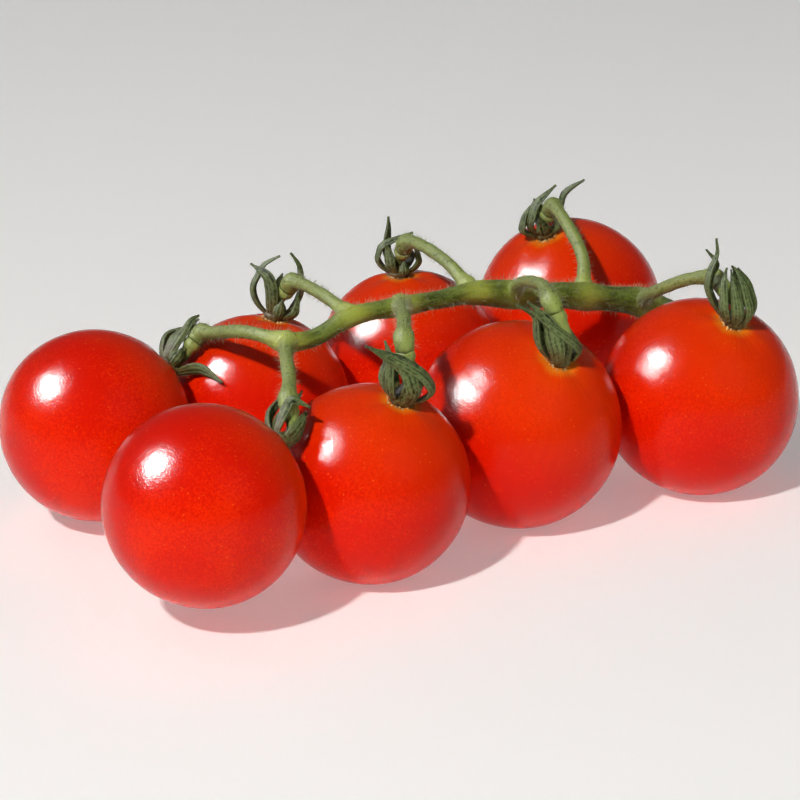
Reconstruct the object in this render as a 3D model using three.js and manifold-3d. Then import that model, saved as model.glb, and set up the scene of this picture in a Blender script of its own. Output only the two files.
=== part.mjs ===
// A truss of eight ripe tomatoes lying on a flat surface, in millimetres, +Z up.
// The cut stem runs in the groove between two rows of fruit, and every fruit hangs on a
// pedicel with a swollen knuckle and a calyx of fleshy, upturned sepals.
import * as THREE from 'three';
import { mergeVertices } from 'three/addons/utils/BufferGeometryUtils.js';
import Module from 'manifold-3d';

const wasm = await Module();
wasm.setup();

// Fruit
const polarShare = 0.985;     // height of a fruit along its axis, as a share of its width
const dimpleDepth = 0.8;      // hollow that the calyx sits in
const dimpleRadius = 3.2;
const restDepth = 0.3;        // how far a resting fruit is pressed flat
const fruitSides = 22;
const fruitRings = 12;
const ringGrading = 1.3;      // rings crowd towards the calyx, to shape its hollow
const facetShare = 1.006;     // corners stand just out of the true skin, and flats just in

// Stem: radii of the round sections
const cutRadius = 2.6;
const middleRadius = 2.45;
const forkRadius = 1.6;
const pedicelRadius = 1.3;
const axilRadius = 1.9;
const knuckleRadius = 1.8;
const stemSides = 8;

// Calyx
const hubRadius = 2.3;
const hubHeight = 2.1;
const stalkRadius = 1.35;
const stalkSides = 8;
const sepalThickness = 0.7;
const sepalSteps = 8; 
const tipShare = 0.26;        // width of a sepal's tip, as a share of its widest part
const gap = 0.45;             // air between touching pieces

// The main stem from its cut end behind the last fruit to the fork, with its radius there.
const stemRoute = [
  [57, 39.5, 24, cutRadius],
  [48, 32.5, 29.8, cutRadius],
  [39.5, 26, 33, middleRadius],
  [31, 19.5, 35.8, middleRadius],
  [21.5, 12, 38.4, middleRadius],
  [14, 7, 40.4, middleRadius],
  [7.5, 2, 40.8, 1.8],
  [0, -4, 41.4, 1.7],
  [-9, -11, 41.8, 1.65],
  [-15.5, -15.8, 39.4, forkRadius],
  [-20.5, -19.5, 39.6, forkRadius],
];

// Each fruit: centre over the ground, how far it hangs clear of it, its largest radius, the
// turn (round +Z) and tilt (above the ground) of its axis, both in degrees, and how far its
// calyx leans off that axis over 10 mm. The pedicel goes from its joint on the stem over a
// bend to the knuckle. A sepal is its turn round the axis, bulge radius, neck radius, tip
// radius (below zero across the axis), height, twist of the tip, and width.
const fruits = [
  {
    centre: [-56.9, -10.5], lift: 2.4, radius: 18.1, turn: 34, tilt: 27, lean: [-1.5, 2.5],
    pedicel: [[-20.5, -19.5, 39.6], [-28, -13, 39.4], [-35, -2.5, 35.6]], knuckle: [-38.9, 1.2, 32.6],
    sepals: [[182, 4.8, 2.2, 1.2, 11.6, 20, 2.4], [252, 3.8, 4.8, 3.8, 11.6, 0, 2.4], [215, 3.4, 2.4, 2.2, 11.8, 10, 2.6],
      [285, 3.6, 3.6, 3.4, 5, 0, 2.6], [344, 3.6, 6.2, 12, 5.4, 0, 3.2], [110, 3.2, 2.8, 2.6, 7, 0, 2.6]],
  },
  {
    centre: [-33.7, -56.3], lift: 5.3, radius: 17.9, turn: 36, tilt: 27, lean: [-2, 2.5],
    pedicel: [[-20.5, -19.5, 39.6], [-20.4, -27, 39.8], [-19.6, -36, 38.4]], knuckle: [-19.4, -42.4, 35.6],
    sepals: [[236, 3.2, 5.6, 5.2, 8.2, 60, 2.6], [165, 5.6, 5.6, 6.4, 9.4, 0, 2.4], [50, 2.4, 1.6, 0.8, 9, 0, 2.6],
      [150, 4.4, 3.4, 3.6, 12, 0, 2.2], [320, 2.4, 1.8, 0.8, 8.5, 0, 2.8]],
  },
  {
    centre: [-27.3, 9], lift: 0, radius: 17.7, turn: 32, tilt: 77, lean: [0, 0],
    pedicel: [[-9, -11, 41.8], [-13.5, -4, 43], [-18.8, 6.4, 42.4]], knuckle: [-21.5, 10, 40.2],
    sepals: [[240, 2.8, 4, 6.6, 10.2, -50, 3.2], [172, 5.4, 4, 1.2, 12.4, 0, 2.2], [15, 4.2, 3, 0.6, 13.4, 0, 2.4],
      [325, 4.6, 4.6, 4.2, 6, 0, 2.4], [285, 2.8, 3, 3, 4.8, 0, 2.6], [100, 4.2, 2.6, 1, 9, 0, 3]],
  },
  {
    centre: [-5.5, -33.8], lift: 0, radius: 18.4, turn: -24, tilt: 70, lean: [-1.5, 0],
    pedicel: [[0, -4, 41.4], [0.3, -14, 44.4], [0.7, -29, 47]], knuckle: [0.9, -36.6, 44.2],
    sepals: [[220, 4.2, 4.5, 5, 12.2, -25, 3], [170, 4.2, 4, 4.4, 8.4, 0, 2.6], [120, 4.2, 3, 2, 7.4, 0, 2.8],
      [298, 4.2, 3.6, 9, 11.2, -95, 3.2], [347, 5.4, 4.2, 8.4, 11.4, -140, 2.6], [50, 4.4, 3, 1.6, 8.5, 0, 3]],
  },
  {
    centre: [1.6, 34.2], lift: 0, radius: 18.1, turn: 166, tilt: 85, lean: [0, 0],
    pedicel: [[14, 7, 40.4], [9.2, 14.5, 43.8], [2.8, 28, 43.8]], knuckle: [0.6, 33, 40.6],
    sepals: [[175, 4.4, 3.2, -3.4, 8.4, 25, 2.8], [150, 3, 2, 1.6, 12.2, 0, 2.6], [222, 2.8, 2.8, 3.2, 7.4, 0, 3.2],
      [355, 4, 3.6, 3.2, 6.6, 0, 2.4], [290, 3, 2.8, 2.6, 3.8, 0, 2.4], [60, 4, 2.6, 1, 7.5, 0, 3]],
  },
  {
    centre: [22, -7.5], lift: 0, radius: 19.7, turn: -49, tilt: 56, lean: [-4.2, 3],
    pedicel: [[21.5, 12, 38.4], [23, 5, 43], [26.4, -9, 47]], knuckle: [28.2, -16.8, 44.8],
    sepals: [[205, 4.4, 4.6, 8, 13.2, -10, 2.8], [268, 4, 3.2, 5.6, 13.8, -75, 3.4], [345, 4.8, 4, 5.6, 12.8, -140, 2.6],
      [15, 4.2, 3.2, 2.6, 8.4, 0, 3], [95, 3.6, 2.8, 2, 7.5, 0, 3], [150, 4.4, 3.4, 3, 9.5, 0, 3]],
  },
  {
    centre: [35, 55.3], lift: 2.4, radius: 19, turn: -144, tilt: 69, lean: [0, 0],
    pedicel: [[35.8, 23, 34.3], [36, 30, 40], [31.8, 44.6, 45.2]], knuckle: [30.2, 49.6, 43.2],
    sepals: [[192, 4.4, 2.8, 1, 7.8, 0, 2.6], [205, 2.8, 0.2, -5.4, 9.6, 0, 3], [275, 2.4, 2.9, 3, 6.2, 0, 2.8],
      [12, 4.2, 6.4, 11, 9.2, 0, 2.2], [350, 3.2, 3, 2.6, 3.8, 0, 2.6], [95, 4, 2.4, 1, 8.5, 0, 3]],
  },
  {
    centre: [57.8, 8.9], lift: 0, radius: 19.2, turn: -46, tilt: 66, lean: [-3.4, 2.5],
    pedicel: [[48, 32.5, 29.8], [49, 22, 35.2], [56, 12, 41.6]], knuckle: [61, 6.2, 42],
    sepals: [[186, 5.1, 2.8, 2.8, 18.2, 0, 2.6], [358, 4.6, 3.4, 1.2, 12.6, 0, 2.2], [282, 4.2, 3, 1, 12.6, -20, 2.4],
      [238, 4.2, 3.2, 1.4, 12.8, -10, 2.4], [322, 4.6, 3.4, 1, 13, -10, 2.4], [60, 4.4, 2.6, 0.4, 12.5, 0, 3],
      [164, 4.8, 3, 5, 14.2, 0, 1.8]],
  },
];

const up = new THREE.Vector3(0, 1, 0);
const radians = THREE.MathUtils.degToRad;

function material(color, roughness) {
  return new THREE.MeshStandardMaterial({ color, roughness, metalness: 0 });
}

// A closed body from rings of points, with each end closed by a fan from one ring point.
function loft(rings, fanPoint = 0) {
  const sides = rings[0].length;
  const positions = rings.flat().flatMap((point) => point.toArray());
  const index = [];
  for (let ring = 0; ring < rings.length - 1; ring += 1) {
    for (let side = 0; side < sides; side += 1) {
      const a = ring * sides + side;
      const b = ring * sides + (side + 1) % sides;
      index.push(a, b, b + sides, a, b + sides, a + sides);
    }
  }
  const last = (rings.length - 1) * sides;
  for (let step = 1; step < sides - 1; step += 1) {
    const b = (fanPoint + step) % sides;
    const c = (fanPoint + step + 1) % sides;
    index.push(fanPoint, c, b);
    index.push(last + fanPoint, last + b, last + c);
  }
  const geometry = new THREE.BufferGeometry();
  geometry.setAttribute('position', new THREE.Float32BufferAttribute(positions, 3));
  geometry.setIndex(index);
  return geometry;
}

// Merges the seam and pole vertices of a three.js geometry and drops its empty triangles.
function welded(source) {
  source.deleteAttribute('normal');
  source.deleteAttribute('uv');
  const geometry = mergeVertices(source, 1e-4);
  const corners = geometry.index.array;
  const kept = [];
  for (let i = 0; i < corners.length; i += 3) {
    const [a, b, c] = corners.slice(i, i + 3);
    if (a !== b && b !== c && c !== a) kept.push(a, b, c);
  }
  geometry.setIndex(kept);
  return geometry;
}

function toSolid(geometry) {
  return new wasm.Manifold(new wasm.Mesh({
    numProp: 3,
    vertProperties: new Float32Array(geometry.attributes.position.array),
    triVerts: new Uint32Array(geometry.index.array),
  }));
}

function toGeometry(solid) {
  const mesh = solid.getMesh();
  const geometry = new THREE.BufferGeometry();
  geometry.setAttribute('position', new THREE.BufferAttribute(mesh.vertProperties, 3));
  geometry.setIndex(new THREE.BufferAttribute(mesh.triVerts, 1));
  geometry.computeVertexNormals();
  return geometry;
}

// Joins solids and keeps the one outer body, so a pocket sealed between them is filled.
function joined(solids) {
  const bodies = solids.reduce((whole, solid) => whole.add(solid)).decompose();
  return bodies.reduce((largest, body) => (body.volume() > largest.volume() ? body : largest));
}

// A round tube along a curve whose radius follows the given list.
function tube(curve, radii, steps, sides) {
  const frames = curve.computeFrenetFrames(steps, false);
  const rings = [];
  for (let step = 0; step <= steps; step += 1) {
    const along = step / steps;
    const place = along * (radii.length - 1);
    const before = Math.min(Math.floor(place), radii.length - 2);
    const radius = THREE.MathUtils.lerp(radii[before], radii[before + 1], place - before);
    const centre = curve.getPointAt(along);
    const ring = [];
    for (let side = 0; side < sides; side += 1) {
      const angle = 2 * Math.PI * side / sides;
      ring.push(centre.clone()
        .addScaledVector(frames.normals[step], radius * Math.cos(angle))
        .addScaledVector(frames.binormals[step], radius * Math.sin(angle)));
    }
    rings.push(ring);
  }
  return toSolid(loft(rings));
}

function curveThrough(points) {
  return new THREE.CatmullRomCurve3(points.map((point) => new THREE.Vector3(...point)), false, 'centripetal');
}

// Axis, centre and calyx seat of a fruit in the frame of the truss.
function placed(fruit) {
  const turn = radians(fruit.turn);
  const tilt = radians(fruit.tilt);
  const axis = new THREE.Vector3(
    Math.cos(tilt) * Math.cos(turn), Math.cos(tilt) * Math.sin(turn), Math.sin(tilt));
  const polar = polarShare * fruit.radius;
  const halfHeight = Math.hypot(polar * axis.z, fruit.radius * Math.hypot(axis.x, axis.y));
  const centre = new THREE.Vector3(...fruit.centre, halfHeight - restDepth + fruit.lift);
  const seat = centre.clone().addScaledVector(axis, (polar - dimpleDepth) * facetShare);
  const right = new THREE.Vector3(1, 0, 0).addScaledVector(axis, -axis.x).normalize();
  const back = axis.clone().cross(right);
  return { axis, centre, seat, right, back, polar };
}

// The fruit is turned round its axis, then cut flat where it meets the ground.
function fruitSolid(fruit) {
  const { axis, centre, polar } = placed(fruit);
  const profile = [];
  for (let ring = 0; ring <= fruitRings; ring += 1) {
    const angle = Math.PI * (ring / fruitRings) ** ringGrading;
    const radius = ring === fruitRings ? 0 : fruit.radius * Math.sin(angle);
    const dimple = ring > fruitRings / 2 ? 0 : dimpleDepth * Math.exp(-((radius / dimpleRadius) ** 2));
    profile.push(new THREE.Vector2(radius * facetShare, (polar * Math.cos(angle) - dimple) * facetShare));
  }
  const body = new THREE.LatheGeometry(profile.reverse(), fruitSides);
  body.applyQuaternion(new THREE.Quaternion().setFromUnitVectors(up, axis));
  body.translate(centre.x, centre.y, centre.z);
  const ground = new THREE.BoxGeometry(300, 300, 40);
  ground.translate(0, 0, -20);
  return toSolid(welded(body)).subtract(toSolid(welded(ground)));
}

// A fleshy sepal: it leaves the hub, bulges out, draws in to its neck, and ends in a slim tip.
function sepalSolid(place, lean, [turn, bulge, neck, tipRadius, height, twist, width]) {
  const outline = [
    [1.4, 0.7, 0], [0.74 * bulge, 0.18 * height + 0.3, 0], [bulge, 0.42 * height, 0],
    [0.6 * bulge + 0.42 * neck, 0.63 * height, 0.12], [neck, 0.82 * height, 0.35], [tipRadius, height, 1],
  ];
  const outward = (angle) => place.right.clone().multiplyScalar(Math.cos(angle))
    .addScaledVector(place.back, Math.sin(angle));
  const points = outline.map(([radius, rise, share]) => place.seat.clone()
    .addScaledVector(outward(radians(turn + share * twist)), radius)
    .addScaledVector(place.axis, rise + gap)
    .addScaledVector(new THREE.Vector3(...lean, 0), rise / 10));
  const curve = new THREE.CatmullRomCurve3(points, false, 'centripetal');
  const rings = [];
  const side = place.axis.clone().cross(outward(radians(turn)));
  for (let step = 0; step <= sepalSteps; step += 1) {
    const along = step / sepalSteps;
    const tangent = curve.getTangentAt(along);
    side.addScaledVector(tangent, -side.dot(tangent)).normalize();
    const face = tangent.clone().cross(side).normalize();
    const half = 0.5 * width * Math.max(tipShare, Math.sin(Math.PI * (0.25 + 0.75 * along)) ** 0.8);
    const section = [
      [-half, 0.35], [-0.85 * half, -0.25], [0, -0.5], [0.85 * half, -0.25], [half, 0.35], [0, 0.2]];
    const centre = curve.getPointAt(along);
    rings.push(section.map(([across, depth]) => centre.clone()
      .addScaledVector(side, across)
      .addScaledVector(face, depth * sepalThickness / 0.6)));
  }
  return toSolid(loft(rings, 2));
}

// Where the stalk turns from the fruit's axis towards the knuckle.
function stalkBend(place, knuckle) {
  return place.seat.clone().addScaledVector(place.axis, 0.5 * knuckle.distanceTo(place.seat));
}

// A small turned body: a profile of radius and height, standing at a foot along an axis.
function turned(profile, foot, axis) {
  const body = new THREE.LatheGeometry(profile.map(([x, y]) => new THREE.Vector2(x, y)), stalkSides);
  body.applyQuaternion(new THREE.Quaternion().setFromUnitVectors(up, axis));
  body.translate(foot.x, foot.y, foot.z);
  return toSolid(welded(body));
}

// The calyx: hub, sepals, and the short stalk up to the crease of the knuckle.
function calyxSolid(fruit) {
  const place = placed(fruit);
  const knuckle = new THREE.Vector3(...fruit.knuckle);
  const foot = place.seat.clone().addScaledVector(place.axis, gap);
  const curve = new THREE.QuadraticBezierCurve3(foot, stalkBend(place, knuckle), knuckle);
  const stalk = tube(curve, [1.1, stalkRadius, stalkRadius, knuckleRadius], 5, stalkSides);
  const hub = turned([[0, gap], [1.1, gap + 0.1], [hubRadius, 0.55 * hubHeight], [hubRadius, 0.75 * hubHeight],
    [0, hubHeight]], place.seat, place.axis);
  const sepals = fruit.sepals.map((sepal) => sepalSolid(place, fruit.lean, sepal));
  return joined([stalk, hub, ...sepals]);
}

// The pedicel ends in the upper half of the knuckle, whose flat foot meets the calyx stalk.
function pedicelSolid(fruit) {
  const knuckle = new THREE.Vector3(...fruit.knuckle);
  const out = knuckle.clone().sub(stalkBend(placed(fruit), knuckle)).normalize();
  const end = knuckle.clone().addScaledVector(out, knuckleRadius);
  const curve = curveThrough([...fruit.pedicel, end.toArray()]);
  const profile = [[0, gap], [knuckleRadius, gap], [1.05 * knuckleRadius, 0.6 * knuckleRadius],
    [0.95 * knuckleRadius, 1.2 * knuckleRadius], [0.5 * knuckleRadius, 1.8 * knuckleRadius],
    [0, 2 * knuckleRadius]];
  const radii = [axilRadius, pedicelRadius, pedicelRadius, pedicelRadius, 1.1 * pedicelRadius];
  return tube(curve, radii, 8, stemSides).add(turned(profile, knuckle, out));
}

function stemSolid() {
  const curve = curveThrough(stemRoute.map(([x, y, z]) => [x, y, z]));
  const main = tube(curve, stemRoute.map((point) => point[3]), 26, stemSides);
  return joined([main, ...fruits.map(pedicelSolid)]);
}

function named(name, solid, look) {
  const mesh = new THREE.Mesh(toGeometry(solid), look);
  mesh.name = name;
  return mesh;
}

const skin = material(0xd21405, 0.3);
const calyxGreen = material(0x4a5c2e, 0.7);
const stemGreen = material(0x7f9358, 0.65);

const truss = new THREE.Group();
truss.add(named('truss_stem', stemSolid(), stemGreen));
fruits.forEach((fruit, i) => {
  truss.add(named(`tomato_${i + 1}`, fruitSolid(fruit), skin));
  truss.add(named(`calyx_${i + 1}`, calyxSolid(fruit), calyxGreen));
});

// The origin is the middle of the truss's box, on the ground.
const box = new THREE.Box3().setFromObject(truss);
truss.position.set(-(box.min.x + box.max.x) / 2, -(box.min.y + box.max.y) / 2, 0);

export default truss;
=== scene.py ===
import math
from bisect import bisect
from itertools import accumulate
from random import Random

import bmesh
import bpy
from mathutils import Matrix, Vector, noise


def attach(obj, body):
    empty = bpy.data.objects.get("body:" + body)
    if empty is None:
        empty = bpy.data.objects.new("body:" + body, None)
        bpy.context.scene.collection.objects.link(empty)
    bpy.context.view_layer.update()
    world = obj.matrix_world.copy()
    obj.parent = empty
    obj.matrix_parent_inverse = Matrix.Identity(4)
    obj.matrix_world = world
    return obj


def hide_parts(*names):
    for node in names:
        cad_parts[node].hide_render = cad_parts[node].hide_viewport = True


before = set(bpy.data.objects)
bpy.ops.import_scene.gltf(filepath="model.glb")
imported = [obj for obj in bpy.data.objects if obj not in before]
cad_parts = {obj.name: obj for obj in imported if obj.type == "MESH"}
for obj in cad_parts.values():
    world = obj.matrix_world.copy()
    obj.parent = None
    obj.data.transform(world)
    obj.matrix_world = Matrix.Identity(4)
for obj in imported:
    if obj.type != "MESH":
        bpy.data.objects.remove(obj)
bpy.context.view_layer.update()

mm = 0.001
up = Vector((0, 0, 1))
# lists are in mm, and this point of theirs is the origin of the scene
trussMiddle = Vector((1.11, 0.12, 0))

# Each fruit as in the solids: centre on the ground, how far it hangs clear of it, largest radius,
# turn and tilt of its axis, lean of its calyx over 10 mm, the pedicel's joint and bends, the
# knuckle, and the sepals (turn, bulge radius, neck radius, tip radius, height, twist, width).
fruits = [
    dict(centre=(-56.9, -10.5), lift=2.4, radius=18.1, turn=34, tilt=27, lean=(-1.5, 2.5),
         pedicel=[(-20.5, -19.5, 39.6), (-28, -13, 39.4), (-35, -2.5, 35.6)],
         knuckle=(-38.9, 1.2, 32.6),
         sepals=[(182, 4.8, 2.2, 1.2, 11.6, 20, 2.4), (252, 3.8, 4.8, 3.8, 11.6, 0, 2.4),
                 (215, 3.4, 2.4, 2.2, 11.8, 10, 2.6), (285, 3.6, 3.6, 3.4, 5, 0, 2.6),
                 (344, 3.6, 6.2, 12, 5.4, 0, 3.2), (110, 3.2, 2.8, 2.6, 7, 0, 2.6)]),
    dict(centre=(-33.7, -56.3), lift=5.3, radius=17.9, turn=36, tilt=27, lean=(-2, 2.5),
         pedicel=[(-20.5, -19.5, 39.6), (-20.4, -27, 39.8), (-19.6, -36, 38.4)],
         knuckle=(-19.4, -42.4, 35.6),
         sepals=[(236, 3.2, 5.6, 5.2, 8.2, 60, 2.6), (165, 5.6, 5.6, 6.4, 9.4, 0, 2.4),
                 (50, 2.4, 1.6, 0.8, 9, 0, 2.6), (150, 4.4, 3.4, 3.6, 12, 0, 2.2),
                 (320, 2.4, 1.8, 0.8, 8.5, 0, 2.8)]),
    dict(centre=(-27.3, 9), lift=0, radius=17.7, turn=32, tilt=77, lean=(0, 0),
         pedicel=[(-9, -11, 41.8), (-13.5, -4, 43), (-18.8, 6.4, 42.4)],
         knuckle=(-21.5, 10, 40.2),
         sepals=[(240, 2.8, 4, 6.6, 10.2, -50, 3.2), (172, 5.4, 4, 1.2, 12.4, 0, 2.2),
                 (15, 4.2, 3, 0.6, 13.4, 0, 2.4), (325, 4.6, 4.6, 4.2, 6, 0, 2.4),
                 (285, 2.8, 3, 3, 4.8, 0, 2.6), (100, 4.2, 2.6, 1, 9, 0, 3)]),
    dict(centre=(-5.5, -33.8), lift=0, radius=18.4, turn=-24, tilt=70, lean=(-1.5, 0),
         pedicel=[(0, -4, 41.4), (0.3, -14, 44.4), (0.7, -29, 47)],
         knuckle=(0.9, -36.6, 44.2),
         sepals=[(220, 4.2, 4.5, 5, 12.2, -25, 3), (170, 4.2, 4, 4.4, 8.4, 0, 2.6),
                 (120, 4.2, 3, 2, 7.4, 0, 2.8), (298, 4.2, 3.6, 9, 11.2, -95, 3.2),
                 (347, 5.4, 4.2, 8.4, 11.4, -140, 2.6), (50, 4.4, 3, 1.6, 8.5, 0, 3)]),
    dict(centre=(1.6, 34.2), lift=0, radius=18.1, turn=166, tilt=85, lean=(0, 0),
         pedicel=[(14, 7, 40.4), (9.2, 14.5, 43.8), (2.8, 28, 43.8)],
         knuckle=(0.6, 33, 40.6),
         sepals=[(175, 4.4, 3.2, -3.4, 8.4, 25, 2.8), (150, 3, 2, 1.6, 12.2, 0, 2.6),
                 (222, 2.8, 2.8, 3.2, 7.4, 0, 3.2), (355, 4, 3.6, 3.2, 6.6, 0, 2.4),
                 (290, 3, 2.8, 2.6, 3.8, 0, 2.4), (60, 4, 2.6, 1, 7.5, 0, 3)]),
    dict(centre=(22, -7.5), lift=0, radius=19.7, turn=-49, tilt=56, lean=(-4.2, 3),
         pedicel=[(21.5, 12, 38.4), (23, 5, 43), (26.4, -9, 47)],
         knuckle=(28.2, -16.8, 44.8),
         sepals=[(205, 4.4, 4.6, 8, 13.2, -10, 2.8), (268, 4, 3.2, 5.6, 13.8, -75, 3.4),
                 (345, 4.8, 4, 5.6, 12.8, -140, 2.6), (15, 4.2, 3.2, 2.6, 8.4, 0, 3),
                 (95, 3.6, 2.8, 2, 7.5, 0, 3), (150, 4.4, 3.4, 3, 9.5, 0, 3)]),
    dict(centre=(35, 55.3), lift=2.4, radius=19, turn=-144, tilt=69, lean=(0, 0),
         pedicel=[(35.8, 23, 34.3), (36, 30, 40), (31.8, 44.6, 45.2)],
         knuckle=(30.2, 49.6, 43.2),
         sepals=[(192, 4.4, 2.8, 1, 7.8, 0, 2.6), (205, 2.8, 0.2, -5.4, 9.6, 0, 3),
                 (275, 2.4, 2.9, 3, 6.2, 0, 2.8), (12, 4.2, 6.4, 11, 9.2, 0, 2.2),
                 (350, 3.2, 3, 2.6, 3.8, 0, 2.6), (95, 4, 2.4, 1, 8.5, 0, 3)]),
    dict(centre=(57.8, 8.9), lift=0, radius=19.2, turn=-46, tilt=66, lean=(-3.4, 2.5),
         pedicel=[(48, 32.5, 29.8), (49, 22, 35.2), (56, 12, 41.6)],
         knuckle=(61, 6.2, 42),
         sepals=[(186, 5.1, 2.8, 2.8, 18.2, 0, 2.6), (358, 4.6, 3.4, 1.2, 12.6, 0, 2.2),
                 (282, 4.2, 3, 1, 12.6, -20, 2.4), (238, 4.2, 3.2, 1.4, 12.8, -10, 2.4),
                 (322, 4.6, 3.4, 1, 13, -10, 2.4), (60, 4.4, 2.6, 0.4, 12.5, 0, 3),
                 (164, 4.8, 3, 5, 14.2, 0, 1.8)]),
]

# Camera, at the photograph's angle
camera = {"away": 534, "height": 220.9, "pitch": 20.5, "lens": 135}
cameraData = bpy.data.cameras.new("camera")
cameraData.lens = camera["lens"]
cameraData.clip_start = 0.01
cameraObject = bpy.data.objects.new("camera", cameraData)
cameraObject.location = (Vector((0, -camera["away"], camera["height"])) - trussMiddle) * mm
cameraObject.rotation_euler = (math.radians(90 - camera["pitch"]), 0, 0)
bpy.context.collection.objects.link(cameraObject)
bpy.context.scene.camera = cameraObject
print("camera placed")


# Helpers for paths
fineSteps = 24  # points on each span before a path is spaced evenly


def smoothPath(points, steps):
    # evenly spaced points on a centripetal Catmull-Rom curve
    knots = [Vector(point) for point in points]
    knots = [knots[0] * 2 - knots[1]] + knots + [knots[-1] * 2 - knots[-2]]
    fine = []
    for a, b, c, d in zip(knots, knots[1:], knots[2:], knots[3:]):
        tb = (b - a).length ** 0.5
        tc = tb + (c - b).length ** 0.5
        td = tc + (d - c).length ** 0.5
        for step in range(fineSteps):
            t = tb + (tc - tb) * step / fineSteps
            ab = a.lerp(b, t / tb)
            bc = b.lerp(c, (t - tb) / (tc - tb))
            cd = c.lerp(d, (t - tc) / (td - tc))
            abc, bcd = ab.lerp(bc, t / tc), bc.lerp(cd, (t - tb) / (td - tb))
            fine.append(abc.lerp(bcd, (t - tb) / (tc - tb)))
    fine.append(knots[-2])
    lengths = [0]
    for a, b in zip(fine, fine[1:]):
        lengths.append(lengths[-1] + (b - a).length)
    path, at = [], 0
    for step in range(steps + 1):
        wanted = lengths[-1] * step / steps
        while at < len(fine) - 2 and lengths[at + 1] < wanted:
            at += 1
        between = (wanted - lengths[at]) / (lengths[at + 1] - lengths[at])
        path.append(fine[at].lerp(fine[at + 1], between))
    return path


def pathFrames(path, firstSide):
    # the tangent and two sides at each point, turned as little as possible on the way
    side, frames = Vector(firstSide), []
    for i, point in enumerate(path):
        tangent = (path[min(i + 1, len(path) - 1)] - path[max(i - 1, 0)]).normalized()
        side = (side - tangent * side.dot(tangent)).normalized()
        frames.append((point, tangent, side, tangent.cross(side)))
    return frames


def listAt(values, share):
    # the value at a share of the way along an evenly spaced list, eased between its entries
    place = share * (len(values) - 1)
    before = min(int(place), len(values) - 2)
    return values[before] + (values[before + 1] - values[before]) * smoothShare(place - before)


def smoothShare(x):
    x = max(0, min(1, x))
    return x * x * (3 - 2 * x)


def outward(place, degrees):
    angle = math.radians(degrees)
    return place["right"] * math.cos(angle) + place["back"] * math.sin(angle)


def placed(fruit):
    # axis, centre and calyx seat of a fruit, in mm in the frame of the lists
    turn, tilt = math.radians(fruit["turn"]), math.radians(fruit["tilt"])
    axis = Vector((math.cos(tilt) * math.cos(turn), math.cos(tilt) * math.sin(turn), math.sin(tilt)))
    polar = fruitShape["polarShare"] * fruit["radius"]
    halfHeight = math.hypot(polar * axis.z, fruit["radius"] * math.hypot(axis.x, axis.y))
    centre = Vector((*fruit["centre"], halfHeight - fruitShape["restDepth"] + fruit["lift"]))
    seat = centre + axis * (polar - fruitShape["dimpleDepth"])
    right = (Vector((1, 0, 0)) - axis * axis.x).normalized()
    return {"axis": axis, "centre": centre, "seat": seat, "right": right, "back": axis.cross(right),
            "polar": polar}


# Helpers for meshes
def extrudeRing(bm, ring):
    # extrudes a closed ring of vertices and gives the new ring in the same order
    edges = [bm.edges.get((a, b)) for a, b in zip(ring, ring[1:] + ring[:1])]
    made = bmesh.ops.extrude_edge_only(bm, edges=edges)["geom"]
    new = {element for element in made if isinstance(element, bmesh.types.BMVert)}
    return [next(edge.other_vert(vert) for edge in vert.link_edges
                 if edge.other_vert(vert) in new) for vert in ring]


def sweep(bm, stations):
    # carries a ring through stations, each a list of (point, grain); both ends close in a fan
    grain = bm.verts.layers.float_vector["grain"]
    sides = len(stations[0])
    ring = bmesh.ops.create_circle(bm, segments=sides, radius=1)["verts"]
    first = ring
    for number, station in enumerate(stations):
        if number:
            ring = extrudeRing(bm, ring)
        for vert, (point, value) in zip(ring, station):
            vert.co = point
            vert[grain] = value
    for end in (first, ring):
        middle = bmesh.ops.poke(bm, faces=[bm.faces.new(end)])["verts"][0]
        middle[grain] = sum((vert[grain] for vert in end), Vector()) / sides


def tubeStations(path, firstSide, radiusAt, sides):
    # rings round a path; the grain holds the way round and the length so far
    stations = []
    length = 0
    for i, (point, tangent, side, other) in enumerate(pathFrames(path, firstSide)):
        length += (point - path[i - 1]).length if i else 0
        share = i / (len(path) - 1)
        ring = []
        for k in range(sides):
            angle = 2 * math.pi * k / sides
            radius = radiusAt(share, angle, point)
            ring.append((point + (side * math.cos(angle) + other * math.sin(angle)) * radius,
                         Vector((math.cos(angle), math.sin(angle), length))))
        stations.append(ring)
    return stations


def newMesh():
    bm = bmesh.new()
    bm.verts.layers.float_vector.new("grain")
    return bm


def sortMesh(bm):
    # extrusion leaves vertices and faces in an order that changes from run to run
    bm.normal_update()
    for number, vert in enumerate(sorted(bm.verts, key=lambda vert: (*vert.co, *vert.normal))):
        vert.index = number
    bm.verts.sort()
    places = {face: sorted(vert.index for vert in face.verts) for face in bm.faces}
    for number, face in enumerate(sorted(bm.faces, key=places.get)):
        face.index = number
    bm.faces.sort()


def finishPiece(name, bm, material, replaced=()):
    # moves and scales a mesh from the frame of the lists to the scene's
    bmesh.ops.translate(bm, vec=-trussMiddle, verts=bm.verts)
    bmesh.ops.scale(bm, vec=(mm, mm, mm), verts=bm.verts)
    for face in bm.faces:
        face.smooth = True
    sortMesh(bm)
    mesh = bpy.data.meshes.new(name)
    bm.to_mesh(mesh)
    bm.free()
    mesh.materials.append(material)
    piece = bpy.data.objects.new(name, mesh)
    bpy.context.collection.objects.link(piece)
    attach(piece, "root")
    if replaced:
        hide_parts(*replaced)
    return piece


# Helpers for materials
def nodeIn(tree, kind, **settings):
    made = tree.nodes.new("ShaderNode" + kind)
    for name, value in settings.items():
        if name in made.inputs:
            made.inputs[name].default_value = value
        else:
            setattr(made, name, value)
    return made


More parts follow.
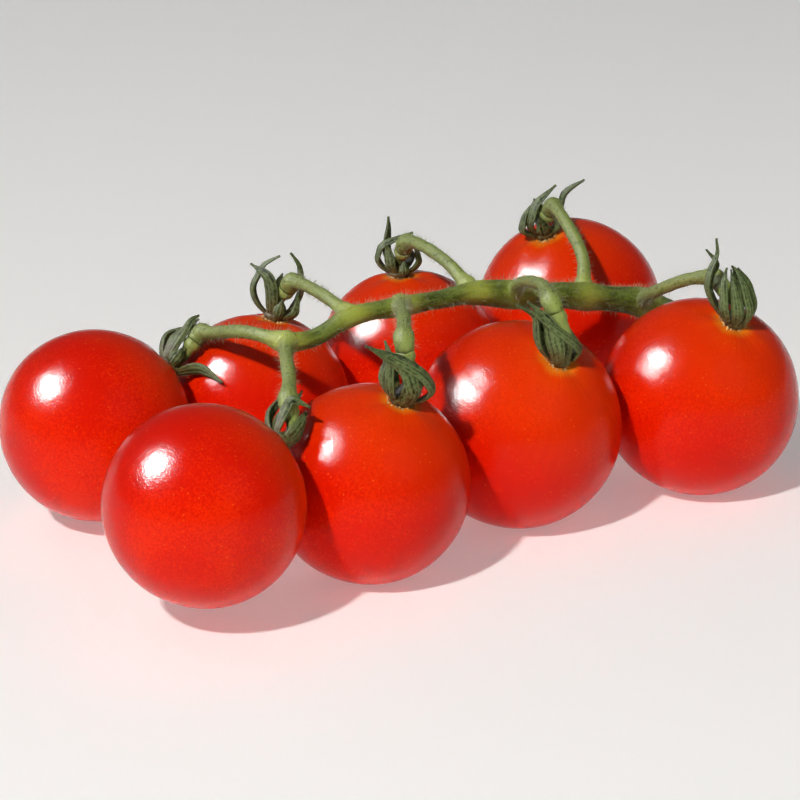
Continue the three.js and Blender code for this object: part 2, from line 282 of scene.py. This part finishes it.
def rampIn(tree, source, stops):
    ramp = nodeIn(tree, "ValToRGB")
    ramp.color_ramp.interpolation = "EASE"
    while len(ramp.color_ramp.elements) < len(stops):
        ramp.color_ramp.elements.new(0.5)
    for element, (place, color) in zip(ramp.color_ramp.elements, stops):
        element.position = place
        element.color = (*color, 1) if isinstance(color, tuple) else (color, color, color, 1)
    tree.links.new(source, ramp.inputs[0])
    return ramp.outputs[0]


def mixIn(tree, factor, a, b):
    mix = nodeIn(tree, "Mix", data_type="RGBA")
    for socket, value in ((mix.inputs[0], factor), (mix.inputs[6], a), (mix.inputs[7], b)):
        if isinstance(value, bpy.types.NodeSocket):
            tree.links.new(value, socket)
        else:
            socket.default_value = (*value, 1) if isinstance(value, tuple) else value
    return mix.outputs[2]


def mathIn(tree, operation, *values):
    made = nodeIn(tree, "Math", operation=operation)
    for socket, value in zip(made.inputs, values):
        if isinstance(value, bpy.types.NodeSocket):
            tree.links.new(value, socket)
        else:
            socket.default_value = value
    return made.outputs[0]


def noiseIn(tree, vector, scale, detail=2, roughness=0.5, stretch=None):
    if stretch:
        mapping = nodeIn(tree, "Mapping")
        mapping.inputs["Scale"].default_value = stretch
        tree.links.new(vector, mapping.inputs["Vector"])
        vector = mapping.outputs[0]
    made = nodeIn(tree, "TexNoise", Scale=scale, Detail=detail, Roughness=roughness)
    tree.links.new(vector, made.inputs["Vector"])
    return made.outputs["Fac"]


def newMaterial(name, roughness, specular=0.12):
    material = bpy.data.materials.new(name)
    material.use_nodes = True
    shader = material.node_tree.nodes["Principled BSDF"]
    shader.inputs["Roughness"].default_value = roughness
    shader.inputs["Specular IOR Level"].default_value = specular
    return material, material.node_tree, shader


def bumpIn(tree, shader, height, distance):
    bump = nodeIn(tree, "Bump", Strength=1, Distance=distance)
    tree.links.new(height, bump.inputs["Height"])
    tree.links.new(bump.outputs[0], shader.inputs["Normal"])


# Fruit skin
skinLook = {"red": (0.83, 0.02, 0.0006), "deepRed": (0.7, 0.008, 0.0004),
            "orange": (0.88, 0.055, 0.001), "glow": (0.9, 0.25, 0.012),
            "fleck": (0.9, 0.16, 0.02), "roughness": 0.17,
            "mottleScale": 2200, "patchScale": 55, "streakScale": 3.5, "fleckScale": 900,
            "fleckPatchScale": 240, "grainScale": 3000, "dimpleScale": 260, "bump": 0.00005}


def makeSkin():
    material, tree, shader = newMaterial("tomatoSkin", skinLook["roughness"])
    place = nodeIn(tree, "TexCoord").outputs["Object"]
    crown = nodeIn(tree, "Attribute", attribute_name="crown").outputs["Vector"]
    polar = nodeIn(tree, "SeparateXYZ")
    tree.links.new(crown, polar.inputs[0])
    mottle = noiseIn(tree, place, skinLook["mottleScale"], 2, 0.6)
    patches = mathIn(tree, "MULTIPLY_ADD", mottle, 0.9, noiseIn(tree, place, skinLook["patchScale"]))
    deeper = rampIn(tree, patches, [(0.7, 0.0), (1.25, 1.0)])
    color = mixIn(tree, deeper, skinLook["red"], skinLook["deepRed"])
    # an orange glow spreads from the crown in uneven streaks, and is yellow at the calyx
    streaks = noiseIn(tree, crown, skinLook["streakScale"], 4, 0.65, (4, 4, 1))
    glowReach = mathIn(tree, "MULTIPLY_ADD", streaks, 0.12, polar.outputs[2])
    nearCrown = rampIn(tree, glowReach, [(0.12, 0.9), (0.22, 0.5), (0.5, 0.0)])
    color = mixIn(tree, nearCrown, color, skinLook["orange"])
    closeReach = mathIn(tree, "MULTIPLY_ADD", streaks, 0.04, polar.outputs[2])
    closeCrown = rampIn(tree, closeReach, [(0.06, 0.85), (0.1, 0.0)])
    color = mixIn(tree, closeCrown, color, skinLook["glow"])
    # pale freckles, in loose patches
    cells = nodeIn(tree, "TexVoronoi", Scale=skinLook["fleckScale"])
    tree.links.new(place, cells.inputs["Vector"])
    flecks = rampIn(tree, cells.outputs["Distance"], [(0.0, 1.0), (0.22, 0.0)])
    fleckPatches = noiseIn(tree, place, skinLook["fleckPatchScale"])
    rare = rampIn(tree, fleckPatches, [(0.42, 0.1), (0.65, 0.7)])
    color = mixIn(tree, mathIn(tree, "MULTIPLY", flecks, rare), color, skinLook["fleck"])
    tree.links.new(color, shader.inputs["Base Color"])
    grain = noiseIn(tree, place, skinLook["grainScale"])
    height = mathIn(tree, "MULTIPLY_ADD", noiseIn(tree, place, skinLook["dimpleScale"]), 1.6, grain)
    bumpIn(tree, shader, height, skinLook["bump"])
    return material


# the dimple holds the calyx, with low shoulders round it, and the fruit rests on a small flat
fruitShape = {"polarShare": 0.985, "dimpleDepth": 0.8, "dimpleRadius": 3.2, "restDepth": 0.3,
              "swell": 0.008, "swellScale": 1.3, "shoulder": 0.16, "shoulderRadius": 5,
              "shoulderWidth": 3.5, "lobes": 5, "sides": 112, "rings": 72}


def makeFruit(number, fruit, skin):
    place = placed(fruit)
    radius, polar = fruit["radius"], place["polar"]
    stand = up.rotation_difference(place["axis"])
    sides, rings = fruitShape["sides"], fruitShape["rings"]
    noiseStart = Vector((number * 7.3, 0, 0))
    bm = bmesh.new()
    bmesh.ops.create_uvsphere(bm, u_segments=sides, v_segments=rings, radius=1)
    crown = bm.verts.layers.float_vector.new("crown")
    for vert in bm.verts:
        direction = vert.co.copy()
        around = math.atan2(direction.y, direction.x)
        out = math.hypot(direction.x, direction.y)
        angle = math.atan2(out, direction.z)
        vert[crown] = (math.cos(around), math.sin(around), angle / math.pi)
        spot = direction * fruitShape["swellScale"] + noiseStart
        swell = 1 + fruitShape["swell"] * noise.noise(spot)
        height = direction.z * polar
        if direction.z > 0:
            fromShoulder = out * radius - fruitShape["shoulderRadius"]
            fromShoulder /= fruitShape["shoulderWidth"]
            lobes = math.cos(fruitShape["lobes"] * around + number)
            dimple = math.exp(-(out * radius / fruitShape["dimpleRadius"]) ** 2)
            height += (fruitShape["shoulder"] * lobes * math.exp(-fromShoulder ** 2)
                       - fruitShape["dimpleDepth"] * dimple)
        shaped = Vector((direction.x * radius * swell, direction.y * radius * swell,
                         height * swell))
        vert.co = place["centre"] + stand @ shaped
        vert.co.z = max(vert.co.z, 0)
    return finishPiece(f"tomato{number}", bm, skin, [f"tomato_{number}"])


skin = makeSkin()
for number, fruit in enumerate(fruits, 1):
    makeFruit(number, fruit, skin)
print("fruit made")


# Green parts share a pattern of fine lengthwise streaks with paler ridges
greenLook = {"stretch": (1, 1, 0.12), "speckleScale": 1800, "blotchScale": 180}


def makeGreenGroup():
    group = bpy.data.node_groups.new("greenGrain", "ShaderNodeTree")
    wanted = {"Scale": "NodeSocketFloat", "Dark": "NodeSocketColor", "Pale": "NodeSocketColor"}
    for name, kind in wanted.items():
        group.interface.new_socket(name, in_out="INPUT", socket_type=kind)
    group.interface.new_socket("Color", in_out="OUTPUT", socket_type="NodeSocketColor")
    group.interface.new_socket("Height", in_out="OUTPUT", socket_type="NodeSocketFloat")
    ends = group.nodes.new("NodeGroupInput")
    out = group.nodes.new("NodeGroupOutput")
    grain = nodeIn(group, "Attribute", attribute_name="grain").outputs["Vector"]
    place = nodeIn(group, "TexCoord").outputs["Object"]
    streaks = nodeIn(group, "TexNoise", Detail=3, Roughness=0.6)
    mapping = nodeIn(group, "Mapping")
    mapping.inputs["Scale"].default_value = greenLook["stretch"]
    group.links.new(grain, mapping.inputs["Vector"])
    group.links.new(mapping.outputs[0], streaks.inputs["Vector"])
    group.links.new(ends.outputs["Scale"], streaks.inputs["Scale"])
    speckle = noiseIn(group, place, greenLook["speckleScale"], 3, 0.65)
    blotch = noiseIn(group, place, greenLook["blotchScale"])
    mixed = mathIn(group, "MULTIPLY_ADD", speckle, 0.55, streaks.outputs["Fac"])
    mixed = mathIn(group, "MULTIPLY_ADD", blotch, 0.5, mixed)
    share = rampIn(group, mathIn(group, "MULTIPLY", mixed, 0.5), [(0.38, 0.0), (0.62, 1.0)])
    mix = nodeIn(group, "Mix", data_type="RGBA")
    group.links.new(share, mix.inputs[0])
    group.links.new(ends.outputs["Dark"], mix.inputs[6])
    group.links.new(ends.outputs["Pale"], mix.inputs[7])
    group.links.new(mix.outputs[2], out.inputs["Color"])
    group.links.new(mixed, out.inputs["Height"])
    return group


greenGroup = makeGreenGroup()


def greenIn(tree, look):
    made = nodeIn(tree, "Group", node_tree=greenGroup)
    made.inputs["Scale"].default_value = look["streakScale"]
    made.inputs["Dark"].default_value = (*look["dark"], 1)
    made.inputs["Pale"].default_value = (*look["pale"], 1)
    return made


# Truss stem
stemShape = {"sides": 20, "steps": 140, "pedicelSteps": 60, "axilRadius": 2.3, "pedicelRadius": 1.22,
             "knuckleRadius": 1.8, "creaseGap": 0.1, "jointSwell": 0.16, "jointReach": 4,
             "lump": 0.07, "lumpScale": 0.25, "rib": 0.03, "ribs": 5,
             "pedicelLump": 0.08, "pedicelLumpScale": 0.4, "pedicelRib": 0.02, "pedicelRibs": 4}
# points of the main stem from its cut end to its tip, each with the stem's radius
stemRoute = [(57, 39.5, 24, 2.6), (48, 32.5, 29.8, 2.6), (39.5, 26, 33, 2.45),
             (31, 19.5, 35.8, 2.45), (21.5, 12, 38.4, 2.45), (14, 7, 40.4, 2.45),
             (7.5, 2, 40.8, 1.8), (0, -4, 41.4, 1.7), (-9, -11, 41.8, 1.65),
             (-15.5, -15.8, 39.4, 1.6), (-20.5, -19.5, 39.6, 1.6)]
# the underside colour is painted shade, laid on the stem and pedicels where they face down
stemLook = {"dark": (0.045, 0.068, 0.008), "pale": (0.18, 0.25, 0.045), "axil": (0.6, 0.68, 0.1),
            "pedicel": (0.36, 0.44, 0.11), "undersideShade": (0.03, 0.026, 0.005), "roughness": 0.6,
            "streakScale": 2.2, "freckleScale": 1100, "axilReach": 3.4, "bump": 0.0002}


def makeStemMaterial():
    material, tree, shader = newMaterial("trussStem", stemLook["roughness"])
    green = greenIn(tree, stemLook)
    # tone holds the pedicels, the nearness to a joint, and how far each point faces down, which
    # darkens the underside as painted shade
    tone = nodeIn(tree, "SeparateXYZ")
    stored = nodeIn(tree, "Attribute", attribute_name="tone").outputs["Vector"]
    tree.links.new(stored, tone.inputs[0])
    place = nodeIn(tree, "TexCoord").outputs["Object"]
    speckle = noiseIn(tree, place, stemLook["freckleScale"])
    freckles = rampIn(tree, speckle, [(0.56, 0.62), (0.68, 0.15)])
    paler = mixIn(tree, freckles, green.outputs["Color"], stemLook["pedicel"])
    color = mixIn(tree, tone.outputs[0], green.outputs["Color"], paler)
    color = mixIn(tree, mathIn(tree, "MULTIPLY", tone.outputs[1], 0.8), color, stemLook["axil"])
    # painted shade: the downward-facing parts are darkened
    color = mixIn(tree, mathIn(tree, "MULTIPLY", tone.outputs[2], 0.55), color, stemLook["undersideShade"])
    tree.links.new(color, shader.inputs["Base Color"])
    bumpIn(tree, shader, green.outputs["Height"], stemLook["bump"])
    return material


def stalkBend(place, knuckle):
    # the stalk leaves the fruit along its axis and bends halfway to the knuckle
    return place["seat"] + place["axis"] * 0.5 * (knuckle - place["seat"]).length


def makeStem():
    bm = newMesh()
    tone = bm.verts.layers.float_vector.new("tone")
    radii = [point[3] for point in stemRoute]
    route = smoothPath([point[:3] for point in stemRoute], stemShape["steps"])
    joints = [Vector(fruit["pedicel"][0]) for fruit in fruits]

    def mainRadius(share, angle, point):
        lumps = (1 + stemShape["lump"] * noise.noise(point * stemShape["lumpScale"])
                 + stemShape["rib"] * math.cos(stemShape["ribs"] * angle + 2 * share))
        nearest = min((point - joint).length for joint in joints) / stemShape["jointReach"]
        joined = 1 + stemShape["jointSwell"] * math.exp(-nearest ** 2)
        return listAt(radii, share) * lumps * joined

    sweep(bm, tubeStations(route, up, mainRadius, stemShape["sides"]))
    mainCount = len(bm.verts)
    small, big = stemShape["pedicelRadius"], stemShape["knuckleRadius"]
    # wide where a pedicel leaves the stem, thin for most of its length, then the knuckle
    widths = [stemShape["axilRadius"], 1.5 * small, 1.1 * small, *[small] * 8, 1.15 * small,
              1.06 * big, 0.95 * big]

    def pedicelRadius(share, angle, point):
        lump = stemShape["pedicelLump"] * noise.noise(point * stemShape["pedicelLumpScale"])
        rib = stemShape["pedicelRib"] * math.cos(stemShape["pedicelRibs"] * angle)
        return listAt(widths, share) * (1 + lump + rib)

    for fruit in fruits:
        knuckle = Vector(fruit["knuckle"])
        out = (knuckle - stalkBend(placed(fruit), knuckle)).normalized()
        ends = [knuckle + out * big, knuckle + out * stemShape["creaseGap"]]
        path = smoothPath([*fruit["pedicel"], *ends], stemShape["pedicelSteps"])
        sweep(bm, tubeStations(path, up, pedicelRadius, stemShape["sides"]))
    bmesh.ops.recalc_face_normals(bm, faces=bm.faces)
    bm.verts.ensure_lookup_table()
    bm.normal_update()
    for number, vert in enumerate(bm.verts):
        nearest = min((vert.co - joint).length for joint in joints) / stemLook["axilReach"]
        onPedicel = 0 if number < mainCount else 1
        # the third part is painted shade, stronger the more a point faces down
        vert[tone] = (onPedicel, math.exp(-nearest ** 2), max(0, -vert.normal.z))
    return finishPiece("trussStem", bm, makeStemMaterial(), ["truss_stem"])


trussStem = makeStem()
print("stem made")


# Calyces
calyxShape = {"hub": [1.9, 2.3, 1.5, 1.1, 1.05, 1.1, 1.25, 1.7, 1.65], "hubSides": 18,
              "hubSteps": 20, "hubLump": 0.05, "hubLumpScale": 0.5, "foot": 0.2,
              "sepalSteps": 34, "sepalSides": 16,
              "thickness": 0.8, "edgeThinning": 0.6, "innerWidth": 0.9, "roll": 0.75, "ridge": 0.11,
              "tipWidth": 0.13, "wave": 0.07}
# the darkest calyx colour is painted shade in the creases between the sepals' ridges
calyxLook = {"dark": (0.013, 0.024, 0.005), "pale": (0.15, 0.2, 0.07),
             # the brown is partly the calyx's own brown and partly painted shade at the feet of the
             # sepals
             "furrowShade": (0.006, 0.012, 0.003), "brown": (0.12, 0.045, 0.01),
             "roughness": 0.6, "streakScale": 1.6, "speckleScale": 1500,
             "ridges": 4, "lengthGrain": 12, "topFrom": 0.45, "topFade": 0.35, "bump": 0.0003}


def makeCalyxMaterial():
    material, tree, shader = newMaterial("sepalGreen", calyxLook["roughness"])
    green = greenIn(tree, calyxLook)
    parts = nodeIn(tree, "SeparateXYZ")
    stored = nodeIn(tree, "Attribute", attribute_name="grain").outputs["Vector"]
    tree.links.new(stored, parts.inputs[0])
    # pale lengthwise ridges over furrows darkened with painted shade, both broken up by the speckle
    # of fine hairs
    turns = mathIn(tree, "MULTIPLY", parts.outputs[0], calyxLook["ridges"] * math.pi)
    waves = mathIn(tree, "COSINE", turns)
    speckle = noiseIn(tree, nodeIn(tree, "TexCoord").outputs["Object"], calyxLook["speckleScale"], 3)
    rise = mathIn(tree, "MULTIPLY_ADD", waves, 0.22, mathIn(tree, "MULTIPLY", speckle, 1.7))
    ridges = rampIn(tree, rise, [(0.75, 0.0), (1.2, 0.75)])
    color = mixIn(tree, ridges, green.outputs["Color"], calyxLook["pale"])
    # painted shade in the creases between the ridges
    furrowShadeMask = rampIn(tree, rise, [(0.42, 0.6), (0.85, 0.0)])
    color = mixIn(tree, furrowShadeMask, color, calyxLook["furrowShade"])
    # towards the foot of each sepal and the base of the stalk the colour turns dark brown, partly
    # the calyx's own brown and partly painted shade where the calyx meets the fruit
    along = mathIn(tree, "DIVIDE", parts.outputs[2], calyxLook["lengthGrain"])
    foot = rampIn(tree, along, [(0.0, 0.75), (0.18, 0.35), (0.42, 0.0)])
    color = mixIn(tree, foot, color, calyxLook["brown"])
    top = nodeIn(tree, "Attribute", attribute_name="stalkTop").outputs["Fac"]
    color = mixIn(tree, mathIn(tree, "MULTIPLY", top, 0.8), color, stemLook["pedicel"])
    tree.links.new(color, shader.inputs["Base Color"])
    bumpIn(tree, shader, green.outputs["Height"], calyxLook["bump"])
    return material


def sepalSection(half, roll, thickness):
    # a fleshy channel: the outer face has lengthwise ridges, and the margins roll in
    outer, inner = [], []
    count = calyxShape["sepalSides"]
    for k in range(count + 1):
        across = -1 + 2 * k / count
        lift = roll * across * across
        ridge = calyxShape["ridge"] * math.cos(calyxLook["ridges"] * math.pi * across)
        ridge *= 1 - across * across
        wall = thickness * (1 - calyxShape["edgeThinning"] * across * across)
        outer.append((half * across, lift - 0.5 * wall - ridge, across, -1))
        inner.append((half * across * calyxShape["innerWidth"], lift + 0.5 * wall, across, 1))
    return outer + inner[::-1]


def addSepal(bm, fruit, place, sepal):
    turn, bulge, neck, tipRadius, height, twist, width = sepal
    # radius, rise and share of the twist at each point, from the foot to the tip
    outline = [(1.4, 0.7, 0), (0.74 * bulge, 0.18 * height + 0.3, 0), (bulge, 0.42 * height, 0),
               (0.6 * bulge + 0.42 * neck, 0.63 * height, 0.12), (neck, 0.82 * height, 0.35),
               (tipRadius, height, 1)]
    lean = Vector((*fruit["lean"], 0))
    points = [place["seat"] + outward(place, turn + share * twist) * radius
              + place["axis"] * (rise + calyxShape["foot"]) + lean * rise / 10
              for radius, rise, share in outline]
    path = smoothPath(points, calyxShape["sepalSteps"])
    firstSide = place["axis"].cross(outward(place, turn))
    stations = []
    for i, (point, tangent, side, face) in enumerate(pathFrames(path, firstSide)):
        share = i / (len(path) - 1)
        shape = max(calyxShape["tipWidth"], math.sin(math.pi * (0.16 + 0.83 * share)) ** 1.05)
        half = 0.5 * width * shape * (1 + calyxShape["wave"] * math.sin(9 * share + turn))
        roll = calyxShape["roll"] * shape * (0.4 + 0.6 * share)
        thickness = calyxShape["thickness"] * (0.4 + 0.6 * shape)
        length = share * calyxLook["lengthGrain"]
        stations.append([(point + side * x + face * y, Vector((across, part, length)))
                         for x, y, across, part in sepalSection(half, roll, thickness)])
    sweep(bm, stations)


def makeCalyx(number, fruit, material):
    place = placed(fruit)
    knuckle = Vector(fruit["knuckle"])
    bm = newMesh()
    stalkTop = bm.verts.layers.float.new("stalkTop")
    for sepal in fruit["sepals"]:
        addSepal(bm, fruit, place, sepal)
    sepalCount = len(bm.verts)
    foot = place["seat"] + place["axis"] * calyxShape["foot"]
    path = smoothPath([foot, stalkBend(place, knuckle), knuckle], calyxShape["hubSteps"])

    def stalkRadius(share, angle, point):
        lump = calyxShape["hubLump"] * noise.noise(point * calyxShape["hubLumpScale"])
        return listAt(calyxShape["hub"], share) * (1 + lump)

    sweep(bm, tubeStations(path, place["right"], stalkRadius, calyxShape["hubSides"]))
    bm.verts.ensure_lookup_table()
    # the top of the stalk is as pale as the pedicel
    for vert in bm.verts[sepalCount:]:
        share = (vert.co - place["seat"]).length / (knuckle - place["seat"]).length
        vert[stalkTop] = smoothShare((share - calyxLook["topFrom"]) / calyxLook["topFade"])
    bmesh.ops.recalc_face_normals(bm, faces=bm.faces)
    return finishPiece(f"calyx{number}", bm, material, [f"calyx_{number}"])


sepalMaterial = makeCalyxMaterial()
calyces = [makeCalyx(number, fruit, sepalMaterial) for number, fruit in enumerate(fruits, 1)]
print("calyces made")


# Pale corky crumbs where each calyx sits on its fruit
crumbLook = {"count": 30, "ring": (2.0, 2.7), "rise": 0.3, "size": (0.12, 0.34),
             "pale": (0.75, 0.5, 0.18), "brown": (0.4, 0.2, 0.06), "roughness": 0.7,
             "toneScale": 900, "seed": 9}


def makeCrumbs():
    random = Random(crumbLook["seed"])
    bm = newMesh()
    for fruit in fruits:
        place = placed(fruit)
        for number in range(crumbLook["count"]):
            turn = 360 * (number + random.random()) / crumbLook["count"]
            away = outward(place, turn) * random.uniform(*crumbLook["ring"])
            foot = place["seat"] + away + place["axis"] * crumbLook["rise"]
            size = random.uniform(*crumbLook["size"])
            bmesh.ops.create_icosphere(bm, subdivisions=1, radius=size,
                                       matrix=Matrix.Translation(foot))
    material, tree, shader = newMaterial("corkyCrumb", crumbLook["roughness"])
    tone = noiseIn(tree, nodeIn(tree, "TexCoord").outputs["Object"], crumbLook["toneScale"])
    paler = rampIn(tree, tone, [(0.42, 0.0), (0.58, 1.0)])
    color = mixIn(tree, paler, crumbLook["brown"], crumbLook["pale"])
    tree.links.new(color, shader.inputs["Base Color"])
    finishPiece("crownCrumbs", bm, material)


makeCrumbs()
print("crumbs made")


# Fine hairs on the green parts
hairLook = {"color": (0.42, 0.46, 0.28), "roughness": 0.5, "toneScale": 400, "stem": 7000,
            "calyx": 600, "length": (0.5, 1.7), "sepalLength": (0.25, 0.7), "radius": 0.027,
            "lean": 0.5, "rise": 0.45, "batch": 200, "seed": 4}


def makeHair(name, piece, count, lengths, material, random):
    # thin three-sided cones, spread evenly by area, and made in batches to save time
    mesh = piece.data
    areas = list(accumulate(face.area for face in mesh.polygons))
    hair = bpy.data.meshes.new(name)
    whole = bmesh.new()
    for start in range(0, count, hairLook["batch"]):
        bm = bmesh.new()
        for _ in range(start, min(start + hairLook["batch"], count)):
            index = bisect(areas, random.random() * areas[-1])
            face = mesh.polygons[min(index, len(areas) - 1)]
            corners = [mesh.vertices[corner].co for corner in sorted(face.vertices)]
            weights = [random.random() for _ in corners]
            root = sum((corner * weight for corner, weight in zip(corners, weights)), Vector())
            root /= sum(weights)
            lean = Vector([random.uniform(-1, 1) for _ in range(3)]) * hairLook["lean"]
            direction = (face.normal + lean).normalized()
            length = random.uniform(*lengths) * mm
            turned = up.rotation_difference(direction).to_matrix().to_4x4()
            place = Matrix.Translation(root + direction * hairLook["rise"] * length) @ turned
            bmesh.ops.create_cone(bm, cap_ends=True, segments=3, radius1=hairLook["radius"] * mm,
                                  radius2=0, depth=length, matrix=place)
        bm.to_mesh(hair)
        bm.free()
        whole.from_mesh(hair)
    whole.to_mesh(hair)
    whole.free()
    hair.materials.append(material)
    made = bpy.data.objects.new(name, hair)
    bpy.context.collection.objects.link(made)
    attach(made, "root")


hairMaterial, hairTree, hairShader = newMaterial("fineHair", hairLook["roughness"])
hairTone = noiseIn(hairTree, nodeIn(hairTree, "TexCoord").outputs["Object"], hairLook["toneScale"])
darkHair = tuple(0.7 * part for part in hairLook["color"])
hairColor = rampIn(hairTree, hairTone, [(0.3, darkHair), (0.7, hairLook["color"])])
hairTree.links.new(hairColor, hairShader.inputs["Base Color"])
hairRandom = Random(hairLook["seed"])
makeHair("stemHair", trussStem, hairLook["stem"], hairLook["length"], hairMaterial,
         hairRandom)
for number, calyx in enumerate(calyces, 1):
    makeHair(f"calyxHair{number}", calyx, hairLook["calyx"], hairLook["sepalLength"],
             hairMaterial, hairRandom)
print("hairs made")


# Floor, light and surroundings
stageLook = {"floorSize": 3, "floorTone": 0.9, "floorRoughness": 0.6, "floorGlow": 0.24,
             "surroundings": 0.1}


def makeStage():
    bm = bmesh.new()
    bmesh.ops.create_grid(bm, x_segments=1, y_segments=1, size=stageLook["floorSize"])
    mesh = bpy.data.meshes.new("floor")
    bm.to_mesh(mesh)
    bm.free()
    floor = bpy.data.objects.new("floor", mesh)
    bpy.context.collection.objects.link(floor)
    material, tree, shader = newMaterial("paleFloor", stageLook["floorRoughness"], 0)
    shader.inputs["Base Color"].default_value = (*[stageLook["floorTone"]] * 3, 1)
    shader.inputs["Emission Color"].default_value = (1, 1, 1, 1)
    shader.inputs["Emission Strength"].default_value = stageLook["floorGlow"]
    mesh.materials.append(material)


def addLight(name, direction, distance, size, power, color=(1, 1, 1), diffuse=True, gloss=True):
    data = bpy.data.lights.new(name, "AREA")
    data.shape = "DISK"
    data.size = size
    data.energy = power
    data.color = color
    light = bpy.data.objects.new(name, data)
    towards = Vector(direction).normalized()
    light.location = towards * distance
    light.rotation_euler = towards.to_track_quat("Z", "Y").to_euler()
    light.visible_diffuse = diffuse
    light.visible_glossy = gloss
    bpy.context.collection.objects.link(light)


makeStage()
# the key gives light and shadow, the softbox gives the highlights
lights = {"key": dict(direction=(-0.33, -0.67, 0.67), distance=1.4, size=0.07, power=14.5,
                      color=(1, 0.97, 0.93), gloss=False),
          "softbox": dict(direction=(-0.71, -0.1, 0.67), distance=1.4, size=0.62, power=200,
                          diffuse=False),
          "fill": dict(direction=(0.6, -0.6, 0.7), distance=1.6, size=1.2, power=1)}
for name, settings in lights.items():
    addLight(name, **settings)
world = bpy.data.worlds.new("studio")
bpy.context.scene.world = world
world.use_nodes = True
background = world.node_tree.nodes["Background"]
background.inputs["Color"].default_value = (1, 1, 1, 1)
background.inputs["Strength"].default_value = stageLook["surroundings"]
bpy.context.scene.view_settings.view_transform = "Standard"
print("stage made")
